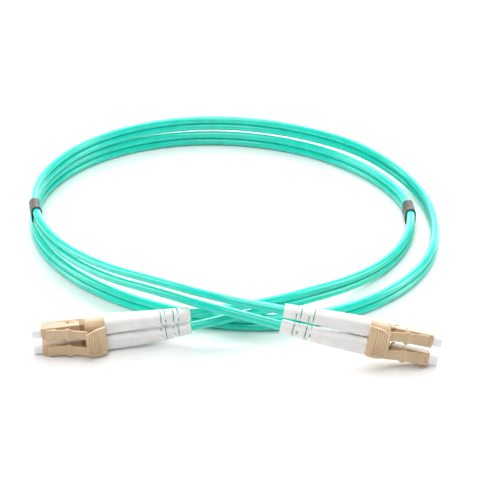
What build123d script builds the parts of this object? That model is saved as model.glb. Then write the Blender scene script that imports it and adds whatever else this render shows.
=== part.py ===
from build123d import *
from math import cos, radians, sin, tan
import os

# Duplex fibre patch cord: a figure-eight cord of two 3 mm fibre cords, coiled twice on a
# table, with a two-plug connector at each end. Millimetres, +Z up. The origin is on the
# table, in the middle of the two connectors. Each connector has its own frame: x along
# the plugs, 0 at their front face and positive out of it, y towards the latches, and z
# across the pair.

os.makedirs("parts", exist_ok=True)

# ---- plug: front housing and latch
pair_pitch = 6.25
housing_wide = 4.42
housing_deep = 4.52
housing_long = 12.65
housing_edge = 0.3
front_bore = 3.0
front_bore_deep = 2.4
shoulder = 0.8
shoulder_bore = 2.0
cavity_bore = 3.5
side_hole = 0.9
side_hole_at = 8.9
tab_long = 1.1
tab_proud = 0.45

latch_root_from = 1.5
latch_root_to = 4.6
hinge_gap = 0.12
latch_front_wide = 3.65
latch_ear_wide = 4.45
latch_tail_wide = 3.1
latch_thick = 0.8
ear_from = 7.65
ear_to = 9.6
latch_end = 15.0
latch_out_root = 0.95
latch_out_ear = 2.15
latch_out_end = 4.05

# ---- plug: ferrule, its flange and spring, rear body
ferrule_dia = 1.25
ferrule_long = 6.3
ferrule_out = 2.0
flange_flats = 2.8
flange_long = 1.7
flange_neck_dia = 1.9
flange_neck_long = 2.6
wire_dia = 0.3
spring_dia = 2.7
spring_turns = 6
spring_long = 4.5
spring_fit = 0.02
body_nose_dia = 3.3
body_collar = 4.1
body_collar_long = 1.55
body_dia = 4.0
body_bore = 1.1
post_dia = 2.7
post_long = 5.1

# ---- clip and trigger
clip_deep = 6.4
clip_wide = 11.9
clip_rim_proud = 0.2
clip_long = 6.7
front_rim = 1.0
rear_rim = 0.6
clip_fit = 0.05
clip_shift = 0.2
web_wide = 0.8
web_high = 0.72
trigger_thick = 1.15
trigger_front_wide = 8.4
trigger_rear_wide = 10.2
trigger_over_latch = 0.85
trigger_gap = 0.15
trigger_ridges = 7
ridge_from = 0.55
ridge_pitch = 0.68
ridge_radius = 0.2

# ---- crimp, boot and dust cap
crimp_from = 0.3
crimp_long = 6.6
crimp_dia = 3.9
aramid_thick = 0.22
boot_front = 5.9
boot_tail = 4.4
boot_long = 28.4
boot_cavity_deep = 8.4
boot_cavity_dia = 4.05
slot_wide = 0.35
slot_span = 145
slot_turn = 28
slot_rows = (4.2, 5.7, 8.4, 9.9)
cap_head = 3.5
cap_head_long = 3.2
cap_stem_dia = 2.84
cap_stem_long = 2.2
cap_fit = 0.05

# ---- cord
cord_dia = 3.0
jacket_bore = 2.0
yarn_bore = 0.94
fibre_dia = 0.9
layer_gap = 0.02
cord_pitch = 3.1
sleeve_long = 7.8
sleeve_wall = 0.4
sleeve_fit = 0.1

# ---- places worked out from the sizes above
clip_from = housing_long + body_collar_long
clip_to = clip_from + clip_long
cavity_from = front_bore_deep + shoulder
spring_from = cavity_from + flange_long
spring_to = spring_from + spring_long
half_deep = housing_deep / 2
fibre_from = ferrule_long - ferrule_out + 1.3
cap_bore = ferrule_dia + 0.15
cord_from = clip_to + post_long + 0.2
bend_from = clip_to + 17.6
crossing = pair_pitch + 10.55


def connector_frame(nose_x, nose_y, side, yaw, nose_down, lean):
    """Frame of a connector that lies on its side, turned, tipped on its nose and leaning
    back, and as high as puts its lowest corner on the table. side is -1 or 1 along X."""
    level = Plane(origin=(nose_x, nose_y, 0), x_dir=(side, 0, 0), z_dir=(0, 0, -side))
    turned = level.location * Location((0, 0, 0), (0, 0, yaw))
    tipped = turned * Location((0, 0, 0), (0, -side * nose_down, 0))
    frame = Plane(tipped * Location((0, 0, 0), (-side * lean, 0, 0)))
    low = 0
    half_pair = (pair_pitch + housing_wide) / 2
    for x, y, z in (
        (0, half_deep, half_pair),
        (-clip_from, clip_deep / 2, clip_wide / 2),
    ):
        for sign in (-1, 1):
            for corner in ((x, y, sign * z), (x, -y, sign * z)):
                low = min(low, frame.from_local_coords(Vector(*corner)).Z)
    return Plane(origin=frame.origin + Vector(0, 0, -low), x_dir=frame.x_dir, z_dir=frame.z_dir)


def across(frame, back, out=0, along_pair=0):
    """Plane square to the plugs, a distance behind their front face: its x runs out to
    the latches and its y across the pair, and it faces forward."""
    origin = frame.from_local_coords(Vector(-back, out, along_pair))
    return Plane(origin=origin, x_dir=frame.y_dir, z_dir=frame.x_dir)


def beside(frame, along_pair):
    """Plane along the plugs and through their latches, facing across the pair."""
    return frame.offset(along_pair)


def facing(frame, out):
    """Plane under the latches' side: its x runs forward and its y across the pair."""
    origin = frame.from_local_coords(Vector(0, out, 0))
    return Plane(origin=origin, x_dir=frame.x_dir, z_dir=-frame.y_dir)


def keep(name, piece):
    """Label a finished piece and write its file."""
    piece.part.label = name
    export_step(piece.part, f"parts/{name}.step")


def corner_radii(points):
    """The largest even bend at each corner of a cord's route."""
    radii = []
    for before, here, after in zip(points, points[1:], points[2:]):
        run = min((here - before).length, (after - here).length)
        turn = (here - before).get_angle(after - here)
        radii.append(0.45 * run / tan(radians(turn / 2)))
    return radii


# ---------------------------------------------------------------- plug pieces
def make_housing(name, frame, z):
    with BuildPart() as housing:
        with BuildSketch(across(frame, 0, 0, z)):
            RectangleRounded(housing_deep, housing_wide, housing_edge)
        extrude(amount=-housing_long)
        with BuildSketch(beside(frame, z)):
            with BuildLine():
                Polyline(
                    (-latch_root_from, half_deep - 0.2),
                    (-latch_root_from, half_deep + latch_out_root - 0.15),
                    (-latch_root_from - 0.2, half_deep + latch_out_root),
                    (-latch_root_to, half_deep + latch_out_root + 0.2),
                    (-latch_root_to, half_deep + 0.3),
                    (-latch_root_to - 0.3, half_deep),
                    (-latch_root_to - 0.3, half_deep - 0.2),
                    close=True,
                )
            make_face()
        extrude(amount=latch_front_wide / 2, both=True)
        for sign in (-1, 1):
            with BuildSketch(beside(frame, z + sign * (housing_wide / 2 - 0.2))):
                with Locations((-housing_long + tab_long / 2, -half_deep + 0.8)):
                    RectangleRounded(tab_long, 1.1, 0.15)
            extrude(amount=sign * (tab_proud * 0.5 + 0.2))
        with BuildSketch(across(frame, 0, 0, z)):
            Circle(front_bore / 2)
        extrude(amount=-front_bore_deep, mode=Mode.SUBTRACT)
        with BuildSketch(across(frame, front_bore_deep, 0, z)):
            Circle(shoulder_bore / 2)
        extrude(amount=-shoulder, mode=Mode.SUBTRACT)
        with BuildSketch(across(frame, cavity_from, 0, z)):
            Circle(cavity_bore / 2)
        extrude(amount=-housing_long, mode=Mode.SUBTRACT)
        with BuildSketch(beside(frame, z)):
            with Locations((-side_hole_at, 0)):
                Circle(side_hole / 2)
        extrude(amount=housing_wide, both=True, mode=Mode.SUBTRACT)
    keep(name, housing)


def make_latch(name, frame, z):
    start = latch_root_to + hinge_gap
    out_start = half_deep + latch_out_root + 0.2
    out_ear = half_deep + latch_out_ear
    out_end = half_deep + latch_out_end
    ear_step = 0.45
    with BuildPart() as latch:
        with BuildSketch(beside(frame, z)):
            with BuildLine():
                Polyline(
                    (-start, out_start),
                    (-ear_from, out_ear - ear_step),
                    (-ear_from, out_ear - ear_step - latch_thick),
                    (-start, out_start - latch_thick + 0.1),
                    close=True,
                )
            make_face()
        extrude(amount=latch_front_wide / 2, both=True)
        with BuildSketch(beside(frame, z)):
            with BuildLine():
                Polyline(
                    (-ear_from, out_ear - ear_step - latch_thick),
                    (-ear_from, out_ear - 0.1),
                    (-ear_from - 0.15, out_ear),
                    (-ear_to, out_ear + 0.05),
                    (-ear_to, out_ear - latch_thick - 0.1),
                    close=True,
                )
            make_face()
        extrude(amount=latch_ear_wide / 2, both=True)
        with BuildSketch(beside(frame, z)):
            with BuildLine():
                Polyline(
                    (-ear_to, out_ear - 0.05),
                    (-latch_end + 0.2, out_end),
                    (-latch_end, out_end - 0.15),
                    (-latch_end, out_end - latch_thick),
                    (-ear_to, out_ear - latch_thick - 0.1),
                    close=True,
                )
            make_face()
        extrude(amount=latch_tail_wide / 2, both=True)
    keep(name, latch)


def make_rear_body(name, frame, z):
    with BuildPart() as body:
        with BuildSketch(across(frame, spring_to, 0, z)):
            Circle(body_nose_dia / 2)
        extrude(amount=-(housing_long - spring_to))
        with BuildSketch(across(frame, housing_long, 0, z)):
            RectangleRounded(body_collar, body_collar, 0.4)
        extrude(amount=-body_collar_long)
        with BuildSketch(across(frame, clip_from, 0, z)):
            Circle(body_dia / 2)
        extrude(amount=-clip_long)
        with BuildSketch(across(frame, clip_to, 0, z)):
            Circle(post_dia / 2)
        extrude(amount=-post_long)
        with BuildSketch(across(frame, 0, 0, z)):
            Circle(body_bore / 2)
        extrude(amount=-(clip_to + post_long), mode=Mode.SUBTRACT)
    keep(name, body)


def make_ferrule(name, frame, z):
    with BuildPart() as ferrule:
        with BuildSketch(across(frame, -ferrule_out, 0, z)):
            Circle(ferrule_dia / 2)
        extrude(amount=-ferrule_long)
        tip = ferrule.faces().sort_by(Axis(frame.origin, frame.x_dir))[-1]
        chamfer(tip.edges(), 0.12)
    keep(name, ferrule)


def make_flange(name, frame, z):
    with BuildPart() as flange:
        with BuildSketch(across(frame, cavity_from, 0, z)):
            RegularPolygon(flange_flats / 2, 6, major_radius=False)
        extrude(amount=-flange_long)
        with BuildSketch(across(frame, spring_from, 0, z)):
            Circle(flange_neck_dia / 2)
        extrude(amount=-flange_neck_long)
        with BuildSketch(across(frame, 0, 0, z)):
            Circle(ferrule_dia / 2)
        extrude(amount=-(ferrule_long - ferrule_out), mode=Mode.SUBTRACT)
        with BuildSketch(across(frame, 0, 0, z)):
            Circle(fibre_dia / 2 + 0.05)
        extrude(amount=-(spring_from + flange_neck_long), mode=Mode.SUBTRACT)
    keep(name, flange)


def make_spring(name, frame, z):
    radius = spring_dia / 2
    free = spring_long - wire_dia - 2 * spring_fit
    foot = frame.from_local_coords(Vector(-spring_to + wire_dia / 2 + spring_fit, 0, z))
    with BuildPart() as spring:
        with BuildLine() as coil:
            Helix(free / spring_turns, free, radius, center=foot, direction=frame.x_dir)
        with BuildSketch(Plane(origin=coil.line @ 0, z_dir=coil.line % 0)):
            Circle(wire_dia / 2)
        sweep(is_frenet=True)
    keep(name, spring)


def make_crimp(name, frame, z):
    start = clip_to + crimp_from
    with BuildPart() as crimp:
        with BuildSketch(across(frame, start, 0, z)):
            Circle(crimp_dia / 2)
        extrude(amount=-crimp_long)
        with BuildSketch(across(frame, start, 0, z)):
            Circle(post_dia / 2 + aramid_thick + 0.04)
        extrude(amount=-(clip_to + post_long - start), mode=Mode.SUBTRACT)
        with BuildSketch(across(frame, start, 0, z)):
            Circle(cord_dia / 2 + layer_gap)
        extrude(amount=-crimp_long, mode=Mode.SUBTRACT)
    keep(name, crimp)


def make_gripped_yarn(name, frame, z):
    start = clip_to + crimp_from + 0.2
    with BuildPart() as yarn:
        with BuildSketch(across(frame, start, 0, z)):
            Circle(post_dia / 2 + aramid_thick)
            Circle(post_dia / 2 + layer_gap, mode=Mode.SUBTRACT)
        extrude(amount=-(clip_to + post_long - 0.1 - start))
    keep(name, yarn)


def make_cap(name, frame, z):
    with BuildPart() as cap:
        with BuildSketch(across(frame, -cap_fit, 0, z)):
            RectangleRounded(cap_head, cap_head, 0.9)
        extrude(amount=cap_head_long)
        front = cap.faces().sort_by(Axis(frame.origin, frame.x_dir))[-1]
        fillet(front.edges(), 0.35)
        with BuildSketch(across(frame, -cap_fit, 0, z)):
            Circle(cap_stem_dia / 2)
        extrude(amount=-(cap_stem_long + cap_fit))
        with BuildSketch(across(frame, cap_stem_long, 0, z)):
            Circle(cap_bore / 2)
        extrude(amount=cap_stem_long + ferrule_out + 0.35, mode=Mode.SUBTRACT)
    keep(name, cap)


def make_boot(name, frame, z, route, quarter, lift):
    """Boot with a tail that follows the first bend of its cord. quarter says which rows
    face the latches, and lift, -1 or 1, which way they are turned to look up."""
    begin = frame.from_local_coords(Vector(-clip_to, 0, z))
    towards = (route[2] - route[1]).normalized()
    tail = route[1] + towards * (clip_to + boot_long - bend_from)
    radius = corner_radii(route)[0]
    with BuildLine() as axis:
        FilletPolyline(begin, route[1], tail, radius=radius)
    line = axis.wire()
    length = line.length

    def section(distance):
        origin = line.position_at(distance, position_mode=PositionMode.LENGTH)
        tangent = line.tangent_at(distance, position_mode=PositionMode.LENGTH)
        return Plane(origin=origin, x_dir=frame.y_dir, z_dir=tangent)

    with BuildPart() as boot:
        for share, size in ((0, boot_front), (0.3, 5.6), (0.62, 5.0), (1, boot_tail)):
            with BuildSketch(section(share * length)):
                RectangleRounded(size, size, size * (0.3 + 0.12 * share))
        loft()
        with BuildSketch(across(frame, clip_to, 0, z)):
            Circle(boot_cavity_dia / 2)
        extrude(amount=-boot_cavity_deep, mode=Mode.SUBTRACT)
        with BuildLine() as channel:
            FilletPolyline(begin, route[1], tail + towards, radius=radius)
        with BuildSketch(Plane(origin=begin, z_dir=channel.line % 0)):
            Circle(cord_dia / 2 + 0.06)
        sweep(path=channel.line, mode=Mode.SUBTRACT)
        for row, back in enumerate(slot_rows):
            turn = 90 * ((row + quarter) % 2) + lift * slot_turn
            with BuildSketch(section(length - back)) as slot:
                for side in (0, 180):
                    with BuildLine():
                        outer = CenterArc((0, 0), boot_front, side + turn - slot_span / 2, slot_span)
                        inner = CenterArc((0, 0), cord_dia / 2, side + turn - slot_span / 2, slot_span)
                        Line(outer @ 0, inner @ 0)
                        Line(outer @ 1, inner @ 1)
                    make_face()
            extrude(slot.sketch, amount=slot_wide / 2, both=True, mode=Mode.SUBTRACT)
    keep(name, boot)


# ---------------------------------------------------------------- pieces of a pair
def make_clip(name, frame):
    out = clip_deep / 2 + clip_shift
    hinge_x = -clip_to + web_wide / 2
    with BuildPart() as clip:
        for start, long, proud in (
            (clip_from, front_rim, clip_rim_proud),
            (clip_from + front_rim, clip_long - front_rim - rear_rim, 0),
            (clip_to - rear_rim, rear_rim, clip_rim_proud),
        ):
            deep = clip_deep - 2 * clip_rim_proud + 2 * proud
            wide = clip_wide - 2 * clip_rim_proud + 2 * proud
            with BuildSketch(across(frame, start, clip_shift)):
                RectangleRounded(deep, wide, deep / 2 - 0.2)
            extrude(amount=-long)
        with BuildSketch(beside(frame, 0)):
            with Locations((hinge_x, out - 0.4 + (web_high + 0.4) / 2)):
                Rectangle(web_wide, web_high + 0.4)
        extrude(amount=trigger_front_wide / 2, both=True)
        for z in (-pair_pitch / 2, pair_pitch / 2):
            with BuildSketch(across(frame, clip_from, 0, z)):
                Circle(body_dia / 2 + clip_fit)
            extrude(amount=-clip_long, mode=Mode.SUBTRACT)
    keep(name, clip)


def make_trigger(name, frame):
    lip_x = -latch_end + trigger_over_latch
    lip_in = half_deep + latch_out_end + trigger_gap
    rear_in = clip_deep / 2 + clip_shift + web_high + 0.16
    rear_x = -clip_to
    mid_x = (lip_x + rear_x) / 2
    mid_in = (lip_in + rear_in) / 2 + 0.15
    with BuildPart() as trigger:
        with BuildSketch(beside(frame, 0)):
            with BuildLine():
                inside = Spline((rear_x + web_wide, rear_in), (mid_x, mid_in), (lip_x, lip_in))
                Line(inside @ 1, (lip_x, lip_in + trigger_thick - 0.2))
                outside = Spline(
                    (lip_x, lip_in + trigger_thick - 0.2),
                    (mid_x, mid_in + trigger_thick),
                    (rear_x, rear_in + trigger_thick),
                )
                Line(outside @ 1, (rear_x, rear_in))
                Line((rear_x, rear_in), inside @ 0)
            make_face()
        extrude(amount=trigger_rear_wide / 2, both=True)
        run = outside.length
        ridges = [outside @ ((ridge_from + number * ridge_pitch) / run)
                  for number in range(trigger_ridges)]
        with BuildSketch(facing(frame, lip_in + 2 * trigger_thick)):
            with BuildLine():
                half_rear = trigger_rear_wide / 2
                half_front = trigger_front_wide / 2
                one = Spline(
                    (rear_x, half_rear),
                    (mid_x, (half_rear + half_front) / 2),
                    (lip_x, half_front),
                    tangents=((1, 0), (1, 0)),
                )
                other = Spline(
                    (rear_x, -half_rear),
                    (mid_x, -(half_rear + half_front) / 2),
                    (lip_x, -half_front),
                    tangents=((1, 0), (1, 0)),
                )
                Line(one @ 1, other @ 1)
                Line(one @ 0, other @ 0)
            make_face()
        extrude(amount=2 * (lip_in + trigger_thick), mode=Mode.INTERSECT)
        with BuildSketch(beside(frame, 0)):
            for ridge in ridges:
                with Locations((ridge.X, ridge.Y)):
                    Circle(ridge_radius)
        extrude(amount=trigger_front_wide / 2 - 0.15, both=True)
    keep(name, trigger)


# ---------------------------------------------------------------- the two connectors
left = connector_frame(-64.2, 1.7, -1, 8.5, 2.5, 0)
right = connector_frame(63.3, -4.5, 1, 5, 10.5, 16)


def start_of(frame, z):
    """The cord's first two points: inside the crimp, and where the boot's bend is."""
    return [
        frame.from_local_coords(Vector(-cord_from, 0, z)),
        frame.from_local_coords(Vector(-bend_from, 0, z)),
    ]


# Shared route of the pair, from the left connector to the right one: x, y, and the heights
# of the upper and the lower cord. It crosses itself in front, goes once round on the table,
# and the second time round lies on the first.
pair_route = (
    (-3.5, 11.8, 11.1, 7.1),
    (13, 17.3, 11.1, 7.9),
    (24.5, 25.5, 9.6, 6.2),
    (38.5, 37.5, 6.6, 3.4),
    (51, 51, 4.8, 1.7),
    (60, 66, 4.6, 1.5),
    (65, 83, 5.1, 2),
    (64, 101, 5.1, 2),
    (57, 118, 4.6, 1.5),
    (45, 133.5, 4.6, 1.5),
    (27.5, 147, 4.6, 1.5),
    (4.5, 156, 4.6, 1.5),
    (-20.5, 157.5, 4.6, 1.5),
    (-44.5, 150, 4.6, 1.5),
    (-63.5, 135, 4.6, 1.5),
    (-75.5, 114, 4.6, 1.5),
    (-78, 90, 4.6, 1.5),
    (-72, 67.5, 4.6, 1.5),
    (-59, 47, 4.6, 1.5),
    (-40.5, 31, 4.6, 1.5),
    (-18.5, 19.5, 4.6, 1.5),
    (5.5, 14.5, 4.6, 1.5),
    (29.5, 18, 4.6, 1.5),
    (51.5, 31.5, 4.6, 1.5),
    (67, 51.5, 4.6, 1.5),
    (73.5, 75.5, 4.6, 1.5),
    (73, 99, 4.6, 1.5),
    (65.5, 118.5, 6.2, 3.1),
    (49.5, 135, 10.2, 7.1),
    (28.5, 148, 11, 7.9),
    (4.5, 157, 11, 7.9),
    (-20.5, 158, 11, 7.9),
    (-44, 150, 11, 7.9),
    (-62.5, 135, 11, 7.9),
    (-74, 114.5, 11.1, 8),
    (-77.5, 93, 11.3, 8.2),
    (-72.5, 71, 11.4, 8.2),
    (-61.5, 51.5, 11.9, 8.3),
    (-45.5, 35, 13.4, 9.3),
    (-28.5, 21, crossing, crossing - 4.1),
    (-11.5, 8, crossing + 2.5, crossing - 1.9),
    (3, 2.5, crossing + 2.1, crossing - 2.8),
)


def full_route(cord):
    """All the points of one cord, 0 the upper and 1 the lower."""
    sign = 1 - 2 * cord
    first = start_of(left, sign * pair_pitch / 2)
    last = start_of(right, -sign * pair_pitch / 2)
    middle = [Vector(x, y, heights[cord]) for x, y, *heights in pair_route]
    return first + middle + last[::-1]


def tube(name, points, outer, inner):
    radii = corner_radii(points)
    with BuildPart() as layer:
        with BuildLine() as path:
            FilletPolyline(*points, radius=radii)
        with BuildSketch(Plane(origin=points[0], z_dir=points[1] - points[0])):
            Circle(outer / 2)
            if inner:
                Circle(inner / 2, mode=Mode.SUBTRACT)
        sweep(path=path.line)
    section = 3.14159265 / 4 * (outer ** 2 - inner ** 2)
    print(f"{name}: length {path.wire().length:.1f}, volume {layer.part.volume:.1f}, "
          f"section times length {section * path.wire().length:.1f}, "
          f"radii {min(radii):.1f} to {max(radii):.1f}")
    print("  radii", " ".join(f"{radius:.0f}" for radius in radii))
    keep(name, layer)


def make_sleeve(name, before, after):
    """Oval sleeve round both cords, where the pair splits."""
    ends = [
        Vector(x, y, (upper + lower) / 2)
        for x, y, upper, lower in (pair_route[before], pair_route[after])
    ]
    middle = (ends[0] + ends[1]) / 2
    inside = cord_dia + 2 * sleeve_fit
    with BuildPart() as sleeve:
        with BuildSketch(Plane(origin=middle, x_dir=(0, 0, 1), z_dir=ends[1] - ends[0])):
            SlotOverall(inside + cord_pitch + 2 * sleeve_wall, inside + 2 * sleeve_wall)
            SlotOverall(inside + cord_pitch, inside, mode=Mode.SUBTRACT)
        extrude(amount=sleeve_long / 2, both=True)
    keep(name, sleeve)


routes = {"upper": full_route(0), "lower": full_route(1)}

for end, frame in (("left", left), ("right", right)):
    make_clip(f"{end}_duplex_clip", frame)
    make_trigger(f"{end}_trigger", frame)
    for level, route in routes.items():
        sign = 1 if level == "upper" else -1
        z = (sign if end == "left" else -sign) * pair_pitch / 2
        name = f"{end}_{level}"
        make_housing(f"{name}_plug_housing", frame, z)
        make_latch(f"{name}_latch_arm", frame, z)
        make_rear_body(f"{name}_rear_body", frame, z)
        make_ferrule(f"{name}_ferrule", frame, z)
        make_flange(f"{name}_ferrule_flange", frame, z)
        make_spring(f"{name}_spring", frame, z)
        make_crimp(f"{name}_crimp_sleeve", frame, z)
        make_gripped_yarn(f"{name}_gripped_yarn", frame, z)
        make_cap(f"{name}_dust_cap", frame, z)
        own_route = route if end == "left" else route[::-1]
        lift = -1 if end == "left" else 1
        make_boot(f"{name}_boot", frame, z, own_route, 1 if level == "upper" else 0, lift)

for level, route in routes.items():
    tube(f"{level}_cord_jacket", route, cord_dia, jacket_bore)
    tube(f"{level}_aramid_yarn", route, jacket_bore - 2 * layer_gap, yarn_bore)

for level, route in routes.items():
    left_z = pair_pitch / 2 if level == "upper" else -pair_pitch / 2
    ends = [
        left.from_local_coords(Vector(-fibre_from, 0, left_z)),
        right.from_local_coords(Vector(-fibre_from, 0, -left_z)),
    ]
    radii = corner_radii(route)
    with BuildPart() as fibre:
        with BuildLine() as path:
            FilletPolyline(ends[0], *route[1:-1], ends[1], radius=radii)
        with BuildSketch(Plane(origin=ends[0], z_dir=route[1] - route[0])):
            Circle(fibre_dia / 2)
        sweep(path=path.line)
    keep(f"{level}_fibre", fibre)

make_sleeve("right_split_sleeve", 6, 7)
make_sleeve("left_split_sleeve", 35, 36)
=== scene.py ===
# %% [markdown]
# # A duplex fibre patch cord
# A figure-eight cord of two fibre cords, wound twice round on a table, ends at each side in
# a pair of small latching plugs. The solid model comes first as a fixed frame: it says
# where every piece is and how it moves. Each lesson step below gives one piece or one
# finish the look of the real thing, in metres, where the frame has it.

# %% Load the frame
from math import cos, pi, radians, sin
import bmesh
import bpy
from mathutils import Matrix, Vector


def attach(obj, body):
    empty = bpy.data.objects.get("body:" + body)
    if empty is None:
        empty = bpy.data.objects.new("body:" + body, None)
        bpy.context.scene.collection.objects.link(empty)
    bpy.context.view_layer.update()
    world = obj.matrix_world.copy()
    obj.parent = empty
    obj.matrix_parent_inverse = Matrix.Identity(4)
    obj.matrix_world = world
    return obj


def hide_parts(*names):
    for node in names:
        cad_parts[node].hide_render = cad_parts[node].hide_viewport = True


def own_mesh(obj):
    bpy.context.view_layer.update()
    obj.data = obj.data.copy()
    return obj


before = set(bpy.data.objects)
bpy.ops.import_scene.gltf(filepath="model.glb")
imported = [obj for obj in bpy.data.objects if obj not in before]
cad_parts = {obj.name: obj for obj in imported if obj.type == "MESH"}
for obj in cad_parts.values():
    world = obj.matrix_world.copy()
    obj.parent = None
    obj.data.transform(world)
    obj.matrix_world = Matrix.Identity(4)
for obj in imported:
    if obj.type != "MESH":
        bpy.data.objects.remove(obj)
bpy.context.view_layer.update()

MM = 0.001
collection = bpy.context.scene.collection

# %% [markdown]
# ## Where the connectors lie
# Both connectors lie on their side. The left one is nearly level, and the right one tips on
# its nose and leans back, held up by its cords. One matrix for each turns plug coordinates
# into places on the table: x runs out of the plug from its front face, y out to the
# latches, and z across the pair. So every piece is drawn once, in plug coordinates.

# %% Plug coordinates
def connector_frame(x, y, height, side, yaw, nose_down, lean):
    along, across = Vector((side, 0, 0)), Vector((0, 0, -side))
    level = Matrix((along, across.cross(along), across)).transposed()
    turned = level @ Matrix.Rotation(radians(yaw), 3, "Z")
    tipped = turned @ Matrix.Rotation(radians(-side * nose_down), 3, "Y")
    leaning = tipped @ Matrix.Rotation(radians(-side * lean), 3, "X")
    return Matrix.Translation(Vector((x, y, height)) * MM) @ leaning.to_4x4() @ Matrix.Scale(MM, 4)


CONNECTORS = {
    "left": connector_frame(-64.2, 1.7, 5.3299, -1, 8.5, 2.5, 0),
    "right": connector_frame(63.3, -4.5, 5.655, 1, 5, 10.5, 16),
}
PAIR_PITCH = 6.25  # between the two plugs of a pair, mm


def plug_side(end, level):
    """Which way along z a plug lies from the middle of its pair: 1 or -1."""
    return (1 if level == "upper" else -1) * (1 if end == "left" else -1)


PLUGS = [(end, level) for end in CONNECTORS for level in ("upper", "lower")]
for end, place in CONNECTORS.items():
    print(end, "front face at", [round(v / MM, 1) for v in place.translation], "mm")

# %% [markdown]
# ## Camera
# A long lens from half a metre away, 30 degrees above the table. A long lens keeps the two
# connectors nearly the same size, as in a product picture.

# %% Camera
look_at = Vector((4.4, 70.0, 0)) * MM
eye = Vector((4.4, -466.9, 310.0)) * MM
camera_data = bpy.data.cameras.new("camera")
camera_data.lens = 121.7
camera_data.sensor_width = 36
camera_data.clip_start = 0.02
camera = bpy.data.objects.new("camera", camera_data)
camera.location = eye
camera.rotation_euler = (look_at - eye).to_track_quat("-Z", "Y").to_euler()
collection.objects.link(camera)
bpy.context.scene.camera = camera
print("camera", round((look_at - eye).length, 3), "m from the middle of the coil")

# %% [markdown]
# ## The route of the cord
# The two cords of a figure-eight cord lie one over the other, because the pair stands on
# its edge. A NURBS spline is the right tool: it is one smooth curve that passes near its
# control points, bends no tighter than they ask, and keeps its fullness when it is bevelled
# into a round cord. Each row is x, y and the heights of the upper and the lower cord, mm.

# %% Route points
ROUTE = (
    (-3.5, 11.8, 11.1, 7.1), (13, 17.3, 11.1, 7.9), (24.5, 25.5, 9.6, 6.2),
    (38.5, 37.5, 6.6, 3.4), (51, 51, 4.8, 1.7), (60, 66, 4.6, 1.5),
    (65, 83, 5.1, 2), (64, 101, 5.1, 2), (57, 118, 4.6, 1.5),
    (45, 133.5, 4.6, 1.5), (27.5, 147, 4.6, 1.5), (4.5, 156, 4.6, 1.5),
    (-20.5, 157.5, 4.6, 1.5), (-44.5, 150, 4.6, 1.5), (-63.5, 135, 4.6, 1.5),
    (-75.5, 114, 4.6, 1.5), (-78, 90, 4.6, 1.5), (-72, 67.5, 4.6, 1.5),
    (-59, 47, 4.6, 1.5), (-40.5, 31, 4.6, 1.5), (-18.5, 19.5, 4.6, 1.5),
    (5.5, 14.5, 4.6, 1.5), (29.5, 18, 4.6, 1.5), (51.5, 31.5, 4.6, 1.5),
    (67, 51.5, 4.6, 1.5), (73.5, 75.5, 4.6, 1.5), (73, 99, 4.6, 1.5),
    (65.5, 118.5, 6.2, 3.1), (49.5, 135, 10.2, 7.1), (28.5, 148, 11, 7.9),
    (4.5, 157, 11, 7.9), (-20.5, 158, 11, 7.9), (-44, 150, 11, 7.9),
    (-62.5, 135, 11, 7.9), (-74, 114.5, 11.1, 8), (-77.5, 93, 11.3, 8.2),
    (-72.5, 71, 11.4, 8.2), (-61.5, 51.5, 11.9, 8.3), (-45.5, 35, 13.4, 9.3),
    (-28.5, 21, 16.8, 12.7), (-11.5, 8, 19.3, 14.9), (3, 2.5, 18.9, 14),
)
CORD_FROM, BEND_FROM = 26.2, 38.5  # behind the plug's front face: in the crimp, at the bend
CORD_RADIUS = 1.5


def cord_points(level):
    """The control points of one cord, from the left crimp to the right one, in metres."""
    ends = {
        end: [place @ Vector((-back, 0, plug_side(end, level) * PAIR_PITCH / 2))
              for back in (CORD_FROM, BEND_FROM)]
        for end, place in CONNECTORS.items()
    }
    middle = [Vector((x, y, up if level == "upper" else low)) * MM for x, y, up, low in ROUTE]
    return ends["left"] + middle + ends["right"][::-1]


print(len(ROUTE) + 4, "points for each cord")

# %% [markdown]
# ## The two cords
# The jacket is round, so a bevelled curve makes it. The order of the spline is set after
# its points, because set before them it would fall back to straight runs.

# %% Cords
def nurbs(name, points, radius):
    """A NURBS curve through space, round if radius is above 0."""
    data = bpy.data.curves.new(name, "CURVE")
    data.dimensions = "3D"
    data.resolution_u = 8
    data.bevel_depth = radius
    data.bevel_resolution = 7
    data.use_fill_caps = True
    spline = data.splines.new("NURBS")
    spline.points.add(len(points) - 1)
    for point, place in zip(spline.points, points):
        point.co = (*place, 1)
    spline.order_u = 3
    spline.use_endpoint_u = True
    obj = bpy.data.objects.new(name, data)
    collection.objects.link(obj)
    return obj


def followed(level):
    """The points that a cord's own spline passes through."""
    bare = nurbs("bare_route", cord_points(level), 0)
    mesh = bpy.data.meshes.new_from_object(bare)
    places = [v.co.copy() for v in mesh.vertices]
    bpy.data.objects.remove(bare)
    bpy.data.meshes.remove(mesh)
    return places


lines = {level: followed(level) for level in ("upper", "lower")}
cords = {level: nurbs(f"{level}_cord", cord_points(level), CORD_RADIUS * MM) for level in lines}
lengths = {
    level: sum((b - a).length for a, b in zip(line, line[1:])) for level, line in lines.items()
}
print("cord lengths", {level: round(length, 3) for level, length in lengths.items()}, "m")

# %% [markdown]
# ## Helpers for materials
# Every finish below is a node tree, so it has no picture to stretch. One function turns a
# hex colour as a paint shop would write it into the linear light that the renderer adds
# up, and one adds a node with its settings and its links.

# %% Material helpers
def linear(hex_colour):
    """An sRGB hex colour as linear RGBA."""
    parts = [int(hex_colour[i:i + 2], 16) / 255 for i in (1, 3, 5)]
    return [p / 12.92 if p <= 0.04045 else ((p + 0.055) / 1.055) ** 2.4 for p in parts] + [1]


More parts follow.
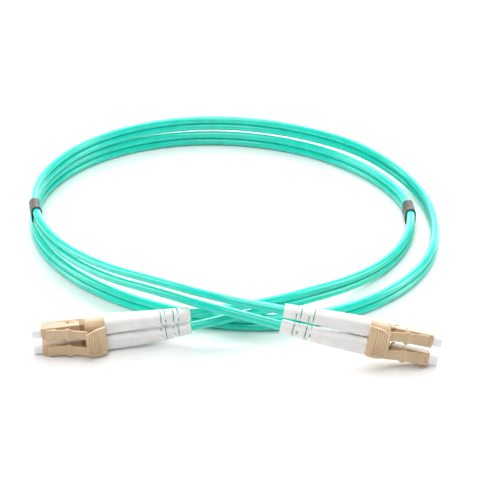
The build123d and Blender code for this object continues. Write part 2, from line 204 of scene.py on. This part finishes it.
def add_node(tree, kind, settings=None, **inputs):
    """A node with its properties and its inputs, which are values or another node's output."""
    node = tree.nodes.new(kind)
    for key, value in (settings or {}).items():
        setattr(node, key, value)
    for key, value in inputs.items():
        socket = node.inputs[int(key[1:]) if key[1:].isdigit() else key.replace("_", " ")]
        if isinstance(value, bpy.types.NodeSocket):
            tree.links.new(value, socket)
        else:
            socket.default_value = value
    return node


def new_material(name):
    """An empty material: its tree, its shader and its Object coordinates."""
    material = bpy.data.materials.new(name)
    material.use_nodes = True
    tree = material.node_tree
    shader = tree.nodes["Principled BSDF"]
    coordinates = add_node(tree, "ShaderNodeTexCoord").outputs["Object"]
    return material, tree, shader, coordinates


def fill(tree, shader, **values):
    """Numbers, colours and links on the shader's own sockets."""
    for key, value in values.items():
        socket = shader.inputs[key.replace("_", " ")]
        if isinstance(value, bpy.types.NodeSocket):
            tree.links.new(value, socket)
        else:
            socket.default_value = value


print("helpers ready; mid grey is", round(linear("#808080")[0], 3), "in linear light")

# %% [markdown]
# ## How a surface varies
# No moulded or drawn surface is even. Its colour drifts over millimetres, and its sheen and
# relief change over a finer grain. Two noises say this for most of the finishes: one mixes
# two tones, and one moves the roughness and lifts a bump. Each noise has a size in mm.

# %% Varied finish
TONE_STOPS = (0.3, 0.7)  # where the mix starts and ends, so that most of it is in between


def varied(name, tones, drift, skin, rough, relief=0, depth_mm=0, **values):
    """A material; drift and skin are each (size in mm, detail), and rough is (low, high)."""
    material, tree, shader, place = new_material(name)
    patches, grain = (
        add_node(tree, "ShaderNodeTexNoise", {"noise_dimensions": "3D"},
                 Vector=place, Scale=1000 / size_mm, Detail=detail).outputs["Fac"]
        for size_mm, detail in (drift, skin)
    )
    ramp = add_node(tree, "ShaderNodeValToRGB", Fac=patches)
    for stop, position, tone in zip(ramp.color_ramp.elements, TONE_STOPS, tones):
        stop.position, stop.color = position, linear(tone)
    sheen = add_node(tree, "ShaderNodeMapRange", Value=grain, To_Min=rough[0], To_Max=rough[1])
    fill(tree, shader, Base_Color=ramp.outputs["Color"], Roughness=sheen.outputs[0], **values)
    if relief:
        bump = add_node(tree, "ShaderNodeBump", Height=grain, Strength=relief,
                        Distance=depth_mm * MM)
        fill(tree, shader, Normal=bump.outputs["Normal"])
    return material


print("tones mix between", *TONE_STOPS, "of the noise")
# %% [markdown]
# ## Aqua cord jacket
# The jacket is soft PVC, extruded over the yarn and drawn through a cooling bath. That
# leaves a satin skin with a clear gloss on it, a slow waviness of a few millimetres, and
# a little light that sinks in and comes back out, so its shaded side stays green.

# %% Jacket material
aqua_jacket = varied(
    "extruded_aqua_pvc", ("#07d3bc", "#14dec8"), (5.0, 2.0), (0.35, 3.0), (0.24, 0.34), 0.12, 0.03,
    IOR=1.53, Subsurface_Weight=0.12, Subsurface_Radius=(0.2, 1.0, 0.85), Subsurface_Scale=0.0012,
    Coat_Weight=0.4, Coat_Roughness=0.22, Coat_IOR=1.5)
print("made", aqua_jacket.name)

# %% [markdown]
# ## Tan plug plastic
# Housings, latches, clip and trigger are moulded from a stiff engineering plastic (PBT) in
# the beige that marks multimode plugs. The tool was finely eroded, so flats are satin and
# edges catch the light. Spark grain is about 0.05 mm, drawn here at 0.15 mm to show.

# %% Tan plastic material
# The darker copy is painted shade: the same plastic, darkened for the rear bodies, which sit in
# the shade inside the housings and clips.
tan_plastic, tan_plastic_inner = (
    varied(name, tones, (4.0, 2.0), (0.15, 2.0), (0.34, 0.46), 0.1, 0.02, IOR=1.57)
    for name, tones in (("moulded_tan_pbt", ("#c7ab87", "#d0b593")),
                        ("moulded_tan_pbt_painted_shade", ("#9f8460", "#a98d69")))
)
print("made", tan_plastic.name, "and", tan_plastic_inner.name)

# %% [markdown]
# ## White boots and caps
# The boots are a rubbery elastomer (TPE): matt, and a touch grey where it is thin over the
# cord. The dust caps are polyethylene, whiter and waxier, so light goes further into them.

# %% White materials
white_boot = varied(
    "moulded_white_tpe", ("#e9e8e6", "#f2f1ef"), (3.0, 2.0), (0.2, 2.0), (0.4, 0.52), 0.12, 0.02,
    IOR=1.5, Subsurface_Weight=0.18, Subsurface_Radius=(1.0, 0.95, 0.9), Subsurface_Scale=0.0008)
white_cap = varied(
    "moulded_white_polyethylene", ("#f3f2f2", "#faf9f9"), (2.0, 2.0), (2.0, 2.0), (0.3, 0.4),
    0.08, 0.03,
    IOR=1.51, Subsurface_Weight=0.35, Subsurface_Radius=(1.0, 1.0, 1.0), Subsurface_Scale=0.001)
print("made", white_boot.name, "and", white_cap.name)

# %% [markdown]
# ## Ceramic and sleeve
# The ferrule is zirconia, a hard ivory ceramic with a polished face. The sleeves where the
# pair splits are dark tube shrunk with heat, which leaves fine creases. The bore of the
# tube is painted near black with a blue-green cast, as painted shade inside the tube.

# %% Ceramic and sleeve materials
zirconia = varied(
    "polished_zirconia", ("#efece3", "#f6f4ee"), (0.3, 2.0), (0.3, 2.0), (0.08, 0.16),
    IOR=2.1, Subsurface_Weight=0.1, Subsurface_Radius=(1.0, 0.9, 0.7), Subsurface_Scale=0.0005)
dark_sleeve = varied("shrunk_dark_polyolefin", ("#3a322e", "#483f3a"), (1.2, 3.0), (1.2, 3.0),
                     (0.34, 0.5), 0.25, 0.05, IOR=1.5)
# The bore's near-black blue-green is painted shade, not a colour of the tube itself.
painted_shade_sleeve_bore, tree, shader, place = new_material("painted_shade_in_polyolefin_bore")
fill(tree, shader, Base_Color=linear("#0c1a1d"), Roughness=0.5, IOR=1.5)
print("made", zirconia.name, dark_sleeve.name, painted_shade_sleeve_bore.name)

# %% [markdown]
# ## Metals
# The flange and the crimp are brass under a thin nickel plate, and the spring is steel wire
# drawn through a die. All three keep the fine marks of that work in their sheen.

# %% Metals
nickel_brass, spring_steel, crimp_brass = (
    varied(name, (tone, tone), (0.2, 3.0), (0.2, 3.0), (rough, rough + 0.12), 0.1, 0.01,
           Metallic=1.0)
    for name, tone, rough in (("nickelled_brass", "#c9c4b8", 0.2),
                              ("drawn_spring_steel", "#b9bbbd", 0.22),
                              ("nickelled_crimp_brass", "#c7c1b2", 0.28))
)
print("made", nickel_brass.name, spring_steel.name, crimp_brass.name)

# %% [markdown]
# ## Aramid yarn
# The yarn is thousands of yellow strands laid side by side. Noise would look like felt, so
# bands of a wave make the strands instead, and the same bands lift the bump.

# %% Yarn material
aramid_yarn, tree, shader, place = new_material("yellow_aramid_yarn")
strands = add_node(tree, "ShaderNodeTexWave", {"wave_type": "BANDS", "bands_direction": "Z"},
                   Vector=place, Scale=900.0, Distortion=3.0).outputs["Fac"]
ramp = add_node(tree, "ShaderNodeValToRGB", Fac=strands)
for stop, position, tone in zip(ramp.color_ramp.elements, TONE_STOPS, ("#d8b443", "#ead079")):
    stop.position, stop.color = position, linear(tone)
bump = add_node(tree, "ShaderNodeBump", Height=strands, Strength=0.4, Distance=0.04 * MM)
fill(tree, shader, Base_Color=ramp.outputs["Color"], Roughness=0.6, IOR=1.6, Sheen_Weight=0.3,
     Normal=bump.outputs["Normal"])
print("made", aramid_yarn.name)

# %% [markdown]
# ## Jackets, and the web between them
# The two jackets leave the die as one figure eight, joined by a thin web of the same PVC.
# The web runs between the sleeves, where the pair is still whole. It is a ribbon with a
# thickness, drawn from one cord's line to the other's, so it follows every bend.

# %% Places along the cords
WEB_THICK = 0.7
WEB_FROM = 1.2  # from a cord's middle, so the web ends inside its jacket, mm
SLEEVE_AT = {"right": 6.5, "left": 35.5}  # each sleeve is midway between two route points


def nearest(line, target):
    return min(range(len(line)), key=lambda i: (line[i] - target).length)


def route_middle(number):
    """A place midway between route points, between the two cords, in metres."""
    before, after = ROUTE[int(number)], ROUTE[int(number) + 1]
    ends = [Vector((x, y, (up + low) / 2)) for x, y, up, low in (before, after)]
    return (ends[0] + ends[1]) / 2 * MM, (ends[1] - ends[0]).normalized()


def mesh_object(name, bm, material):
    """A bmesh as an object at the origin, with its normals out and smooth shading."""
    bmesh.ops.recalc_face_normals(bm, faces=bm.faces)
    mesh = bpy.data.meshes.new(name)
    bm.to_mesh(mesh)
    bm.free()
    mesh.materials.append(material)
    mesh.shade_smooth()
    obj = bpy.data.objects.new(name, mesh)
    collection.objects.link(obj)
    return obj


print("sleeves after route points", {end: int(spot) for end, spot in SLEEVE_AT.items()})

# %% [markdown]
# ## The ribbon
# The ribbon is strung from four-cornered rings, one at each place the upper cord's line
# passes through. Each ring reaches into both jackets, so no gap shows between them.

# %% Web
def make_web():
    upper, lower = lines["upper"], lines["lower"]
    start, stop = (nearest(upper, route_middle(SLEEVE_AT[end])[0]) for end in ("right", "left"))
    bm = bmesh.new()
    rings = []
    for i in range(start, stop + 1):
        top, low = upper[i], lower[nearest(lower, upper[i])]
        along = (upper[min(i + 1, stop)] - upper[max(i - 1, start)]).normalized()
        down = (low - top).normalized()
        side = along.cross(down).normalized() * WEB_THICK / 2 * MM
        inner = down * WEB_FROM * MM
        rings.append([bm.verts.new(p) for p in (
            top + inner + side, low - inner + side, low - inner - side, top + inner - side)])
    for one, two in zip(rings, rings[1:]):
        for k in range(4):
            bm.faces.new((one[k], one[(k + 1) % 4], two[(k + 1) % 4], two[k]))
    bm.faces.new(rings[0])
    bm.faces.new(rings[-1][::-1])
    return mesh_object("jacket_web", bm, aqua_jacket)


web = make_web()
for cord in cords.values():
    cord.data.materials.append(aqua_jacket)
print("web of", len(web.data.polygons), "faces")

# %% [markdown]
# ## Moulded pieces with soft edges
# A moulded edge is never sharp: the tool leaves a radius of a tenth of a millimetre or so,
# and that thin line of light is what makes plastic look like plastic. Each hard piece here
# is a copy of its solid, with doubled corners merged, flat facets joined, and a bevel on
# every edge sharper than 30 degrees.

# %% Softened copies
BEVEL_SEGMENTS = 2


def softened(node, material, radius_mm):
    """A copy of a solid with its edges rounded, as a new piece."""
    bm = bmesh.new()
    bm.from_mesh(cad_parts[node].data)
    bmesh.ops.remove_doubles(bm, verts=bm.verts, dist=1e-6)
    bmesh.ops.dissolve_limit(bm, angle_limit=radians(1.5), verts=bm.verts, edges=bm.edges)
    mesh = bpy.data.meshes.new(node)
    bm.to_mesh(mesh)
    bm.free()
    rough = bpy.data.objects.new(node, mesh)
    collection.objects.link(rough)
    bevel = rough.modifiers.new("edge radius", "BEVEL")
    bevel.width = radius_mm * MM
    bevel.segments = BEVEL_SEGMENTS
    bevel.limit_method = "ANGLE"
    bevel.angle_limit = radians(30)
    bevel.use_clamp_overlap = True
    bevel.harden_normals = True
    evaluated = rough.evaluated_get(bpy.context.evaluated_depsgraph_get())
    finished = bpy.data.meshes.new_from_object(evaluated)
    bpy.data.objects.remove(rough)
    finished.materials.clear()
    finished.materials.append(material)
    obj = bpy.data.objects.new(f"{node}_finished", finished)
    collection.objects.link(obj)
    for polygon in finished.polygons:
        polygon.use_smooth = True
    finished.set_sharp_from_angle(angle=radians(32))
    return obj


def place_piece(obj, node, body):
    """The finished piece stands for its solid and moves with its body."""
    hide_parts(node)
    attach(obj, body)
    return obj


print("bevels have", BEVEL_SEGMENTS, "segments")

# %% [markdown]
# ## Plugs, caps and boots
# Each plug is a square housing with a rear body pressed into it, a cap over its nose and a
# slotted boot behind. The clip holds two plugs side by side. Their solids already have the
# right shape, so they are softened and given their plastic, and nothing is drawn again.

# %% Plugs, caps and boots
for end, level in PLUGS:
    name = f"{end}_{level}"
    for part, body, slot, material, radius in (
        ("plug_housing", "root", "tan_plastic", tan_plastic, 0.2),
        # The rear body takes the darker copy of the tan, which is painted shade.
        ("rear_body", "root", "tan_plastic_inner", tan_plastic_inner, 0.12),
        ("dust_cap", f"{name}_cap", "white_cap", white_cap, 0.1),
        ("boot", "root", "white_boot", white_boot, 0.08),
    ):
        node = f"{name}_{part}"
        place_piece(softened(node, material, radius), node, body)
for end in CONNECTORS:
    node = f"{end}_duplex_clip"
    place_piece(softened(node, tan_plastic, 0.2), node, "root")

# %% [markdown]
# ## Latch arms
# The arm is one springy blade that grows out of the housing, steps up to the two ears that
# catch in the port, and ends in the tail that the trigger presses. It changes width and
# height along its length, which is a loft: rounded sections strung along the plug.

# %% Lofted bars
CORNER_STEPS = 4


def section_ring(bm, x, outer, inner, half_wide, corner):
    """A rounded rectangle square to the plug, in plug coordinates."""
    middle, half_high = (outer + inner) / 2, (outer - inner) / 2
    ring = []
    for quarter in range(4):
        for step in range(CORNER_STEPS + 1):
            angle = pi / 2 * (quarter + step / CORNER_STEPS)
            up = 1 if quarter in (0, 3) else -1
            over = 1 if quarter in (0, 1) else -1
            ring.append(bm.verts.new((
                x,
                middle + up * (half_high - corner) + corner * cos(angle),
                over * (half_wide - corner) + corner * sin(angle),
            )))
    return ring


def lofted(name, sections, material, place):
    """Rounded sections (x, outer, inner, half width, corner) joined into a closed bar."""
    bm = bmesh.new()
    rings = [section_ring(bm, *section) for section in sections]
    for one, two in zip(rings, rings[1:]):
        for k in range(len(one)):
            bm.faces.new((one[k], one[(k + 1) % len(one)], two[(k + 1) % len(two)], two[k]))
    bm.faces.new(rings[0])
    bm.faces.new(rings[-1][::-1])
    bmesh.ops.transform(bm, matrix=place, verts=bm.verts)
    obj = mesh_object(name, bm, material)
    obj.data.set_sharp_from_angle(angle=radians(40))
    return obj


print("corners of", CORNER_STEPS, "steps")

# %% [markdown]
# ## The arm's sections
# Each row is one section, from the arm's root at the nose to the tip of its tail. The ears
# are where the half width swells past 2 mm.

# %% Latch arms
LATCH = (  # x, outer and inner face, half width, corner
    (-4.40, 3.34, 2.72, 1.79, 0.16), (-4.85, 3.42, 2.72, 1.82, 0.20),
    (-6.00, 3.66, 2.90, 1.82, 0.28),
    (-7.20, 3.88, 3.06, 1.80, 0.28), (-7.60, 4.02, 3.12, 1.80, 0.28),
    (-7.95, 4.30, 3.20, 1.95, 0.30), (-8.12, 4.40, 3.24, 2.14, 0.34),
    (-8.40, 4.46, 3.30, 2.22, 0.36), (-9.00, 4.48, 3.44, 2.22, 0.36),
    (-9.30, 4.45, 3.50, 2.14, 0.34), (-9.50, 4.42, 3.56, 1.90, 0.30),
    (-9.75, 4.44, 3.62, 1.64, 0.26), (-11.2, 4.96, 4.16, 1.58, 0.26),
    (-13.0, 5.62, 4.82, 1.58, 0.26), (-14.5, 6.17, 5.38, 1.58, 0.26),
    (-14.8, 6.24, 5.52, 1.54, 0.26), (-14.95, 6.20, 5.60, 1.48, 0.22),
    (-15.0, 6.10, 5.70, 1.38, 0.14),
)
for end, level in PLUGS:
    name = f"{end}_{level}_latch_arm"
    middle = Matrix.Translation((0, 0, plug_side(end, level) * PAIR_PITCH / 2))
    arm = lofted(f"{name}_finished", LATCH, tan_plastic, CONNECTORS[end] @ middle)
    place_piece(arm, name, f"{end}_{level}_latch")
print("latch arms of", len(arm.data.polygons), "faces")

# %% [markdown]
# ## Triggers
# The trigger is a thumb pad: a thin plate that curves up from its hinge on the clip and
# narrows in an S towards its lip. It is a loft too, with its sections worked out from three
# heights, at the rear, the middle and the lip.

# %% Trigger pads
REAR_X, MID_X, LIP_X = -20.9, -17.525, -14.15
PAD_OUTER, PAD_INNER = (5.43, 6.67, 7.41), (4.06, 5.52, 6.46)  # heights of the two faces, mm
PAD_INNER_LEAST = 4.28
PAD_STEPS = 16
PAD_EDGE = 0.3
LIP_PULL = 0.16  # the first and last section are drawn in, which rounds the ends
HINGE_HALF_WIDTH, LIP_HALF_WIDTH = 5.15, 4.15
S_FROM = 0.4  # the share of the length at which the S starts


def through(x, rear, middle, front):
    """The parabola through three heights at the rear, the middle and the lip."""
    a = (x - MID_X) * (x - LIP_X) / ((REAR_X - MID_X) * (REAR_X - LIP_X))
    b = (x - REAR_X) * (x - LIP_X) / ((MID_X - REAR_X) * (MID_X - LIP_X))
    c = (x - REAR_X) * (x - MID_X) / ((LIP_X - REAR_X) * (LIP_X - MID_X))
    return a * rear + b * middle + c * front


def pad_half_width(share):
    """From the hinge's width to the lip's, in an S."""
    swing = min(1, max(0, (share - S_FROM) / (1 - S_FROM)))
    eased = 3 * swing ** 2 - 2 * swing ** 3
    return HINGE_HALF_WIDTH - (HINGE_HALF_WIDTH - LIP_HALF_WIDTH) * eased


def pad_sections():
    for step in range(PAD_STEPS + 1):
        share = step / PAD_STEPS
        x = REAR_X + (LIP_X - REAR_X) * share
        outer = through(x, *PAD_OUTER)
        inner = max(PAD_INNER_LEAST, through(x, *PAD_INNER))
        pull = LIP_PULL if step in (0, PAD_STEPS) else 0
        yield x, outer - pull, inner + pull, pad_half_width(share) - pull, PAD_EDGE - pull


print("pad", round(LIP_X - REAR_X, 2), "mm long")

# %% [markdown]
# ## Ridges, as a tree
# Six ridges run across the pad for grip. One ridge is easy to draw, so Geometry Nodes
# repeat it: a row of points along the pad's outer line, each with a thin rod on it, made
# real and given the plastic. Its sizes are inputs with names, so one tree serves any pad.

# %% Ridge tree
def ridge_tree():
    """Rods across a line of points, as a node group with named sizes."""
    tree = bpy.data.node_groups.new("ridges_along_a_line", "GeometryNodeTree")
    panel = tree.interface
    panel.new_socket("Geometry", in_out="INPUT", socket_type="NodeSocketGeometry")
    for label, kind, value in (("Count", "Int", 6), ("Radius", "Float", 0.22),
                               ("Length", "Float", 8.0)):
        socket = panel.new_socket(label, in_out="INPUT", socket_type=f"NodeSocket{kind}")
        socket.default_value = value
    panel.new_socket("Material", in_out="INPUT", socket_type="NodeSocketMaterial")
    panel.new_socket("Geometry", in_out="OUTPUT", socket_type="NodeSocketGeometry")
    given = add_node(tree, "NodeGroupInput").outputs
    line = add_node(tree, "GeometryNodeMeshToCurve", Mesh=given["Geometry"])
    spaced = add_node(tree, "GeometryNodeResampleCurve", Curve=line.outputs[0],
                      Count=given["Count"])
    points = add_node(tree, "GeometryNodeCurveToPoints", {"mode": "EVALUATED"},
                      Curve=spaced.outputs[0])
    rod = add_node(tree, "GeometryNodeMeshCylinder", Vertices=14, Radius=given["Radius"],
                   Depth=given["Length"])
    row = add_node(tree, "GeometryNodeInstanceOnPoints", Points=points.outputs["Points"],
                   Instance=rod.outputs["Mesh"])
    real = add_node(tree, "GeometryNodeRealizeInstances", Geometry=row.outputs[0])
    dressed = add_node(tree, "GeometryNodeSetMaterial", Geometry=real.outputs[0],
                       Material=given["Material"])
    smooth = add_node(tree, "GeometryNodeSetShadeSmooth", Geometry=dressed.outputs[0])
    add_node(tree, "NodeGroupOutput", Geometry=smooth.outputs[0])
    return tree


ridges = ridge_tree()
print("ridge tree of", len(ridges.nodes), "nodes")

# %% [markdown]
# ## Growing the ridges
# A tree runs as a modifier on a seed mesh. The result is taken out as a plain mesh and the
# modifier goes, so each ridge is real geometry that can move with its trigger. The rods are
# sunk a little into the pad, and only their crests show.

# %% Grown ridges
RIDGE_COUNT, RIDGE_PITCH = 6, 0.8
RIDGE_RADIUS, RIDGE_LONG = 0.3, 8.2
RIDGE_FROM_LIP, RIDGE_SUNK = 0.75, 0.05


def grown(tree, base, **sizes):
    """The mesh that a node tree grows from a base mesh; the base object is removed."""
    seed = bpy.data.objects.new("seed", base)
    collection.objects.link(seed)
    modifier = seed.modifiers.new("grow", "NODES")
    modifier.node_group = tree
    for item in tree.interface.items_tree:
        if item.in_out == "INPUT" and item.name in sizes:
            modifier[item.identifier] = sizes[item.name]
    seed.update_tag()
    evaluated = seed.evaluated_get(bpy.context.evaluated_depsgraph_get())
    result = bpy.data.meshes.new_from_object(evaluated)
    bpy.data.objects.remove(seed)
    return result


line_x = [LIP_X - RIDGE_FROM_LIP - RIDGE_PITCH * k for k in range(RIDGE_COUNT)]
row_line = bpy.data.meshes.new("ridge_line")
row_line.from_pydata([(x, through(x, *PAD_OUTER) - RIDGE_SUNK, 0) for x in line_x],
                     [(k, k + 1) for k in range(RIDGE_COUNT - 1)], [])
ridge_mesh = grown(ridges, row_line, Count=RIDGE_COUNT, Radius=RIDGE_RADIUS, Length=RIDGE_LONG,
                   Material=tan_plastic)
for end, place in CONNECTORS.items():
    name = f"{end}_trigger"
    pad = lofted(f"{name}_finished", list(pad_sections()), tan_plastic, place)
    place_piece(pad, name, name)
    row = ridge_mesh.copy()
    row.transform(place)
    rods = bpy.data.objects.new(f"{name}_ridges", row)
    collection.objects.link(rods)
    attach(rods, name)
print("ridges of", len(ridge_mesh.polygons), "faces")

# %% [markdown]
# ## Split sleeves
# Where the figure eight is slit into two cords, a short piece of tube is shrunk over both
# so that the slit runs no further. It is a thin shell with a stadium section that follows
# the pair's own bend and flares a little at its mouths, so it is strung from rings along
# the two cord lines: an outer skin, an inner skin and a rolled lip at each end.

# %% Sleeve rings
SLEEVE_HALF = 3.9
SLEEVE_OUTSIDE, SLEEVE_INSIDE = 1.84, 1.58  # the two skins' radii at the waist, mm
MOUTH_FLARE = 0.16  # how much wider both are at a mouth
SLEEVE_STEPS = 8
ARC_STEPS = 12


def stadium(bm, upper, lower, along, radius):
    """A ring round both cords, square to them."""
    down = (lower - upper).normalized()
    side = along.cross(down).normalized()
    ring = []
    for middle, start in ((upper, pi), (lower, 0)):
        for k in range(ARC_STEPS + 1):
            angle = start + pi * k / ARC_STEPS
            out = side * cos(angle) + down * sin(angle)
            ring.append(bm.verts.new(middle + radius * MM * out))
    return ring


def joined(bm, one, two, number):
    for k in range(len(one)):
        face = bm.faces.new((one[k], one[(k + 1) % len(one)], two[(k + 1) % len(two)], two[k]))
        face.material_index = number


def closest(line, spot):
    """The point of a line's runs that is nearest to a place."""
    best = None
    for a, b in zip(line, line[1:]):
        run = b - a
        share = min(1, max(0, (spot - a).dot(run) / run.length_squared))
        point = a + run * share
        if best is None or (point - spot).length < (best - spot).length:
            best = point
    return best


print("rings of", 2 * (ARC_STEPS + 1), "corners")

# %% [markdown]
# ## The tubes
# The rings are strung square to the pair at nine places, an outer and an inner one at
# each. Skins join them along the tube, and a lip closes each mouth.

# %% Sleeves
def make_sleeve(end):
    upper_line, lower_line = lines["upper"], lines["lower"]
    middle, along = route_middle(SLEEVE_AT[end])
    bm = bmesh.new()
    outer, inner = [], []
    for k in range(SLEEVE_STEPS + 1):
        share = k / SLEEVE_STEPS * 2 - 1
        flare = MOUTH_FLARE * abs(share) ** 4
        spot = middle + along * SLEEVE_HALF * share * MM
        top = closest(upper_line, spot)
        low = closest(lower_line, spot)
        outer.append(stadium(bm, top, low, along, SLEEVE_OUTSIDE + flare))
        inner.append(stadium(bm, top, low, along, SLEEVE_INSIDE + flare))
    for one, two in zip(outer, outer[1:]):
        joined(bm, one, two, 0)
    for one, two in zip(inner, inner[1:]):
        joined(bm, two, one, 1)
    joined(bm, inner[0], outer[0], 0)
    joined(bm, outer[-1], inner[-1], 0)
    obj = mesh_object(f"{end}_split_sleeve_finished", bm, dark_sleeve)
    # The inner skin takes the second material, which is painted shade.
    obj.data.materials.append(painted_shade_sleeve_bore)
    return obj


for end in ("right", "left"):
    node = f"{end}_split_sleeve"
    place_piece(make_sleeve(end), node, "root")

# %% [markdown]
# ## Hidden pieces
# Inside each housing a zirconia ferrule sits in a metal flange, and a wire spring pushes it
# forward. Behind them the yarn of the cord is gripped by a crimped sleeve. They keep their
# solids and get their own materials.

# %% Hidden pieces
HIDDEN = (("ferrule", zirconia), ("ferrule_flange", nickel_brass),
          ("crimp_sleeve", crimp_brass), ("gripped_yarn", aramid_yarn))
for end, level in PLUGS:
    for part, material in HIDDEN:
        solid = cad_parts[f"{end}_{level}_{part}"]
        solid.data.materials.clear()
        solid.data.materials.append(material)
print("dressed", len(HIDDEN) * len(PLUGS), "inner pieces")

# %% [markdown]
# ## Springs
# A coil spring shortens as its ferrule is pushed in: its rear end stays on the rear body and
# its front end moves with the flange. A stiff copy would be cut through by the flange; each
# spring here is a stiff copy of its solid, in steel, and moves with the root.

# %% Springs
for end, level in PLUGS:
    node = f"{end}_{level}_spring"
    place = CONNECTORS[end]
    spring = bpy.data.objects.new(f"{node}_finished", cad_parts[node].data.copy())
    collection.objects.link(spring)
    spring.data.materials.clear()
    spring.data.materials.append(spring_steel)
    place_piece(spring, node, "root")
    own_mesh(spring)

# %% [markdown]
# ## What each cord is
# Each cord is drawn once and stands for its jacket, its yarn and its fibre, whose solids are
# hidden. The cords and the web move with the root, as the sleeves do.

for level, cord in cords.items():
    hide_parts(f"{level}_cord_jacket", f"{level}_aramid_yarn", f"{level}_fibre")
    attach(cord, "root")
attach(web, "root")

# %% [markdown]
# ## Table
# A white lacquered table. Its gloss gives each cord its faint twin below it.

# %% Table
TABLE_HALF = 3.0
table_top = bpy.data.materials.new("white_lacquered_table")
table_top.use_nodes = True
tree, shader = table_top.node_tree, table_top.node_tree.nodes["Principled BSDF"]
fill(tree, shader, Base_Color=linear("#f4f4f4"), Roughness=0.22, IOR=1.45)
bm = bmesh.new()
bmesh.ops.create_grid(bm, x_segments=1, y_segments=1, size=TABLE_HALF)
table = mesh_object("table", bm, table_top)
print("table", 2 * TABLE_HALF, "m wide")

# %% [markdown]
# ## Light
# A long low strip behind the coil draws a bright line along the top of every cord. Soft
# panels above, in front and at both sides keep the shaded sides from going dark, and a weak
# white surround fills what is left.

# %% Light
WORLD_STRENGTH = 0.1


def area_light(name, where, size, power, aim=(0.004, 0.06, 0)):
    data = bpy.data.lights.new(name, "AREA")
    data.shape = "RECTANGLE"
    data.size, data.size_y = size
    data.energy = power
    light = bpy.data.objects.new(name, data)
    light.location = where
    light.rotation_euler = (Vector(aim) - Vector(where)).to_track_quat("-Z", "Y").to_euler()
    collection.objects.link(light)


area_light("back_glow", (0, 1.4, 0.25), (2.4, 0.45), 18, aim=(0, 0.05, 0))
area_light("back_top", (0, 0.9, 0.9), (0.9, 0.6), 9)
area_light("overhead", (0.1, 0.25, 0.9), (0.6, 0.6), 4)
area_light("front_top", (-0.15, -0.6, 0.95), (0.8, 0.8), 7.5)
area_light("left_panel", (-1.0, 0.15, 0.35), (0.4, 0.8), 5)
area_light("right_panel", (1.0, 0.15, 0.35), (0.4, 0.8), 5)
world = bpy.data.worlds.new("studio")
world.use_nodes = True
world.node_tree.nodes["Background"].inputs["Color"].default_value = (1, 1, 1, 1)
world.node_tree.nodes["Background"].inputs["Strength"].default_value = WORLD_STRENGTH
bpy.context.scene.world = world
bpy.context.scene.view_settings.view_transform = "Standard"
